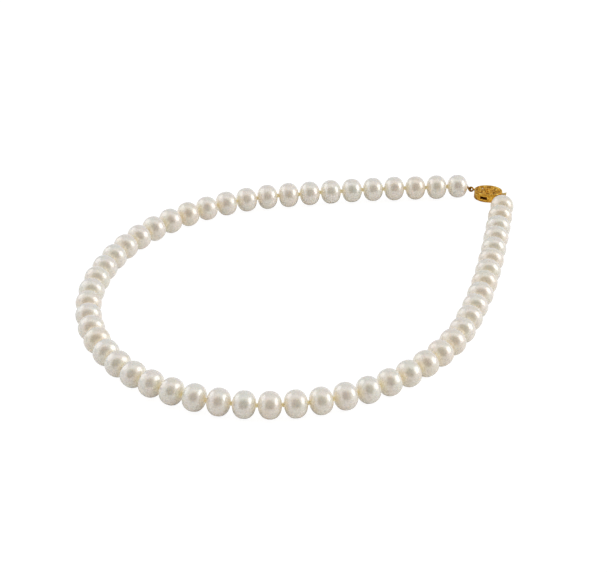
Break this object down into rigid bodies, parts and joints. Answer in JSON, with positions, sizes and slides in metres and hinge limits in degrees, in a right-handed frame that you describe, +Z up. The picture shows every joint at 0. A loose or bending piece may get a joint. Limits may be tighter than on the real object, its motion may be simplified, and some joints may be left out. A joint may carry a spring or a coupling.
{
  "type": "pearl necklace",
  "caption": "Single strand of drilled button pearls knotted on silk, closed by an oval pierced gold fish-hook clasp, laid out in a teardrop loop on a table.",
  "frame": {"origin": "middle of the laid-out necklace, seen from above, on the table that it lies on", "axes": "+Z up, +X to the right along the straight back row towards the clasp, +Y towards the back row"},
  "size_m": [0.1498, 0.149, 0.0088],
  "materials": {
    "nacre": "satin white nacre with a pink and green overtone",
    "silk": "twisted cream silk thread",
    "gimp_wire": "fine coiled gilt wire",
    "gold": "polished yellow gold plate with darkened recesses",
    "spring_gold": "hard-rolled gilt spring strip"
  },
  "bodies": {
    "front_pearls": {"pearls_35_36": "nacre", "silk_thread": "silk"},
    "strand_37_to_42": {"pearls_37_38": "nacre", "pearls_39_40": "nacre", "pearl_41": "nacre", "pearl_42": "nacre"},
    "strand_43_to_44": {"pearl_43": "nacre", "pearl_44": "nacre"},
    "strand_45_to_46": {"pearl_45": "nacre", "pearl_46": "nacre"},
    "strand_47_to_48": {"pearl_47": "nacre", "pearl_48": "nacre"},
    "strand_49_to_50": {"pearl_49": "nacre", "pearl_50": "nacre"},
    "strand_51_to_52": {"pearl_51": "nacre", "pearl_52": "nacre"},
    "strand_53_to_54": {"pearl_53": "nacre", "pearl_54": "nacre"},
    "strand_55_to_56": {"pearl_55": "nacre", "pearl_56": "nacre", "gimp_hook_side": "gimp_wire"},
    "hook": {"hook_strip": "gold", "hook_end_ring": "gold"},
    "hook_leaf": {"hook_spring_leaf": "spring_gold"},
    "strand_31_to_34": {"pearls_33_34": "nacre", "pearl_32": "nacre", "pearl_31": "nacre"},
    "strand_27_to_30": {"pearl_30": "nacre", "pearl_29": "nacre", "pearl_28": "nacre", "pearl_27": "nacre"},
    "strand_23_to_26": {"pearl_26": "nacre", "pearl_25": "nacre", "pearl_24": "nacre", "pearl_23": "nacre"},
    "strand_15_to_22": {"pearl_22": "nacre", "pearls_20_21": "nacre", "pearls_18_19": "nacre", "pearl_17": "nacre", "pearl_16": "nacre", "pearl_15": "nacre"},
    "strand_12_to_14": {"pearl_14": "nacre", "pearl_13": "nacre", "pearl_12": "nacre"},
    "strand_09_to_11": {"pearl_11": "nacre", "pearl_10": "nacre", "pearl_09": "nacre"},
    "strand_06_to_08": {"pearl_08": "nacre", "pearl_07": "nacre", "pearl_06": "nacre"},
    "strand_01_to_05": {"pearls_04_05": "nacre", "pearls_02_03": "nacre", "pearl_01": "nacre", "gimp_case_side": "gimp_wire"},
    "case": {"case_base": "gold", "case_gallery": "gold", "case_filigree_top": "gold", "case_rosette": "gold", "case_catch_bar": "gold", "case_end_ring": "gold"}
  },
  "joints": [
    {"name": "knot_36_bend", "type": "hinge", "parent": "front_pearls", "child": "strand_37_to_42", "pos_m": [0.0012, -0.06907, 0.0044], "axis": [0, 0, 1], "range_deg": [0, 4.14], "deforming": ["silk_thread"]},
    {"name": "knot_42_bend", "type": "hinge", "parent": "strand_37_to_42", "child": "strand_43_to_44", "pos_m": [0.04025, -0.04486, 0.0044], "axis": [0, 0, 1], "range_deg": [-4.4, 0]},
    {"name": "knot_44_bend", "type": "hinge", "parent": "strand_43_to_44", "child": "strand_45_to_46", "pos_m": [0.04888, -0.03189, 0.0044], "axis": [0, 0, 1], "range_deg": [-4.4, 0]},
    {"name": "knot_46_bend", "type": "hinge", "parent": "strand_45_to_46", "child": "strand_47_to_48", "pos_m": [0.05458, -0.01738, 0.0044], "axis": [0, 0, 1], "range_deg": [-4.4, 0]},
    {"name": "knot_48_bend", "type": "hinge", "parent": "strand_47_to_48", "child": "strand_49_to_50", "pos_m": [0.05915, -0.00247, 0.0044], "axis": [0, 0, 1], "range_deg": [-4.4, 0]},
    {"name": "knot_50_bend", "type": "hinge", "parent": "strand_49_to_50", "child": "strand_51_to_52", "pos_m": [0.06283, 0.01269, 0.0044], "axis": [0, 0, 1], "range_deg": [-4.4, 0]},
    {"name": "knot_52_bend", "type": "hinge", "parent": "strand_51_to_52", "child": "strand_53_to_54", "pos_m": [0.06598, 0.02797, 0.0044], "axis": [0, 0, 1], "range_deg": [-4.4, 0]},
    {"name": "knot_54_bend", "type": "hinge", "parent": "strand_53_to_54", "child": "strand_55_to_56", "pos_m": [0.06891, 0.0433, 0.0044], "axis": [0, 0, 1], "range_deg": [-4.4, 0]},
    {"name": "hook_ring_swing", "type": "hinge", "parent": "strand_55_to_56", "child": "hook", "pos_m": [0.07259, 0.06483, 0.0019], "axis": [0, 0, 1], "range_deg": [0, 26.66]},
    {"name": "hook_leaf_press", "type": "hinge", "parent": "hook", "child": "hook_leaf", "pos_m": [0.06468, 0.07029, 0.00178], "axis": [0.1908, 0.9816, 0], "range_deg": [0, 2], "stiffness_Nm_per_rad": 0.02},
    {"name": "knot_34_bend", "type": "hinge", "parent": "front_pearls", "child": "strand_31_to_34", "pos_m": [-0.01431, -0.07042, 0.0044], "axis": [0, 0, 1], "range_deg": [0, 3.5]},
    {"name": "knot_30_bend", "type": "hinge", "parent": "strand_31_to_34", "child": "strand_27_to_30", "pos_m": [-0.04373, -0.06106, 0.0044], "axis": [0, 0, 1], "range_deg": [0, 3.5]},
    {"name": "knot_26_bend", "type": "hinge", "parent": "strand_27_to_30", "child": "strand_23_to_26", "pos_m": [-0.06421, -0.03801, 0.0044], "axis": [0, 0, 1], "range_deg": [0, 3.5]},
    {"name": "knot_22_bend", "type": "hinge", "parent": "strand_23_to_26", "child": "strand_15_to_22", "pos_m": [-0.07091, -0.00782, 0.0044], "axis": [0, 0, 1], "range_deg": [0, 3.5]},
    {"name": "knot_14_bend", "type": "hinge", "parent": "strand_15_to_22", "child": "strand_12_to_14", "pos_m": [-0.04465, 0.0468, 0.0044], "axis": [0, 0, 1], "range_deg": [-4.06, 0]},
    {"name": "knot_11_bend", "type": "hinge", "parent": "strand_12_to_14", "child": "strand_09_to_11", "pos_m": [-0.02465, 0.05879, 0.0044], "axis": [0, 0, 1], "range_deg": [-4.06, 0]},
    {"name": "knot_08_bend", "type": "hinge", "parent": "strand_09_to_11", "child": "strand_06_to_08", "pos_m": [-0.00196, 0.06423, 0.0044], "axis": [0, 0, 1], "range_deg": [-4.06, 0]},
    {"name": "knot_05_bend", "type": "hinge", "parent": "strand_06_to_08", "child": "strand_01_to_05", "pos_m": [0.02119, 0.06762, 0.0044], "axis": [0, 0, 1], "range_deg": [-4.06, 0]},
    {"name": "case_ring_swing", "type": "hinge", "parent": "strand_01_to_05", "child": "case", "pos_m": [0.06047, 0.0711, 0.0029], "axis": [0, 0, 1], "range_deg": [0, 2.24]}
  ],
  "couplings": [
    {"joint": "knot_42_bend", "follows": "knot_36_bend", "ratio": -1.0638},
    {"joint": "knot_44_bend", "follows": "knot_36_bend", "ratio": -1.0638},
    {"joint": "knot_46_bend", "follows": "knot_36_bend", "ratio": -1.0638},
    {"joint": "knot_48_bend", "follows": "knot_36_bend", "ratio": -1.0638},
    {"joint": "knot_50_bend", "follows": "knot_36_bend", "ratio": -1.0638},
    {"joint": "knot_52_bend", "follows": "knot_36_bend", "ratio": -1.0638},
    {"joint": "knot_54_bend", "follows": "knot_36_bend", "ratio": -1.0638},
    {"joint": "hook_ring_swing", "follows": "knot_36_bend", "ratio": 6.4468},
    {"joint": "knot_30_bend", "follows": "knot_34_bend", "ratio": 1},
    {"joint": "knot_26_bend", "follows": "knot_34_bend", "ratio": 1},
    {"joint": "knot_22_bend", "follows": "knot_34_bend", "ratio": 1},
    {"joint": "knot_14_bend", "follows": "knot_34_bend", "ratio": -1.16},
    {"joint": "knot_11_bend", "follows": "knot_34_bend", "ratio": -1.16},
    {"joint": "knot_08_bend", "follows": "knot_34_bend", "ratio": -1.16},
    {"joint": "knot_05_bend", "follows": "knot_34_bend", "ratio": -1.16},
    {"joint": "case_ring_swing", "follows": "knot_34_bend", "ratio": 0.64}
  ]
}
